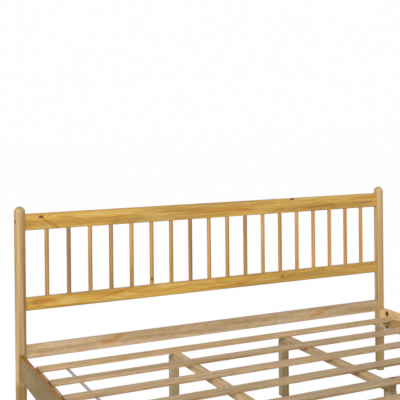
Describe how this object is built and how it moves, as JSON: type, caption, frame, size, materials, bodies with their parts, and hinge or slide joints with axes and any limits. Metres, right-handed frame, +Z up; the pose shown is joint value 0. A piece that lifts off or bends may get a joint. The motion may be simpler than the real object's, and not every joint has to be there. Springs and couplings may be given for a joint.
{
  "type": "spindle bed",
  "caption": "Pine bed frame with a round-post spindle headboard, bolted side rails, a low foot end and slatted bases on square legs.",
  "frame": {"origin": "on the floor at the middle of the bed's footprint", "axes": "+X to the bed's right seen from the foot, +Y from the foot to the head, +Z up"},
  "size_m": [2.046, 2.15, 1.015],
  "materials": {
    "lacquered_pine": "clear lacquered pine, golden amber",
    "rail_pine": "clear lacquered pine, paler tan",
    "base_pine": "planed pine, thin lacquer",
    "webbing": "grey woven webbing",
    "zinc_steel": "zinc plated steel",
    "screw_steel": "yellow zinc plated steel"
  },
  "bodies": {
    "root": {"head_post_left": "lacquered_pine", "head_post_right": "lacquered_pine", "foot_post_left": "lacquered_pine", "foot_post_right": "lacquered_pine", "top_rail": "lacquered_pine", "mid_rail": "lacquered_pine", "foot_rail": "lacquered_pine", "spindle_01": "lacquered_pine", "spindle_02": "lacquered_pine", "spindle_03": "lacquered_pine", "spindle_04": "lacquered_pine", "spindle_05": "lacquered_pine", "spindle_06": "lacquered_pine", "spindle_07": "lacquered_pine", "spindle_08": "lacquered_pine", "spindle_09": "lacquered_pine", "spindle_10": "lacquered_pine", "spindle_11": "lacquered_pine", "spindle_12": "lacquered_pine", "spindle_13": "lacquered_pine", "spindle_14": "lacquered_pine", "spindle_15": "lacquered_pine", "spindle_16": "lacquered_pine", "spindle_17": "lacquered_pine", "spindle_18": "lacquered_pine", "low_rail": "rail_pine", "side_rail_left": "rail_pine", "side_rail_right": "rail_pine", "ledger_left": "base_pine", "ledger_right": "base_pine", "slat_01": "base_pine", "slat_02": "base_pine", "slat_03": "base_pine", "slat_04": "base_pine", "slat_05": "base_pine", "slat_06": "base_pine", "slat_07": "base_pine", "slat_08": "base_pine", "slat_09": "base_pine", "slat_10": "base_pine", "head_base_beam_left": "base_pine", "head_base_leg_outer_left": "base_pine", "head_base_leg_middle_left": "base_pine", "head_base_beam_right": "base_pine", "head_base_leg_outer_right": "base_pine", "head_base_leg_middle_right": "base_pine", "foot_base_beam_left": "base_pine", "foot_base_leg_outer_left": "base_pine", "foot_base_leg_middle_left": "base_pine", "foot_base_beam_right": "base_pine", "foot_base_leg_outer_right": "base_pine", "foot_base_leg_middle_right": "base_pine", "slat_strap_left": "webbing", "slat_strap_right": "webbing", "rail_bolts": "zinc_steel", "rail_nuts": "zinc_steel", "slat_screws": "screw_steel", "ledger_screws": "screw_steel", "leg_screws": "screw_steel", "strap_tacks": "screw_steel"}
  },
  "joints": []
}
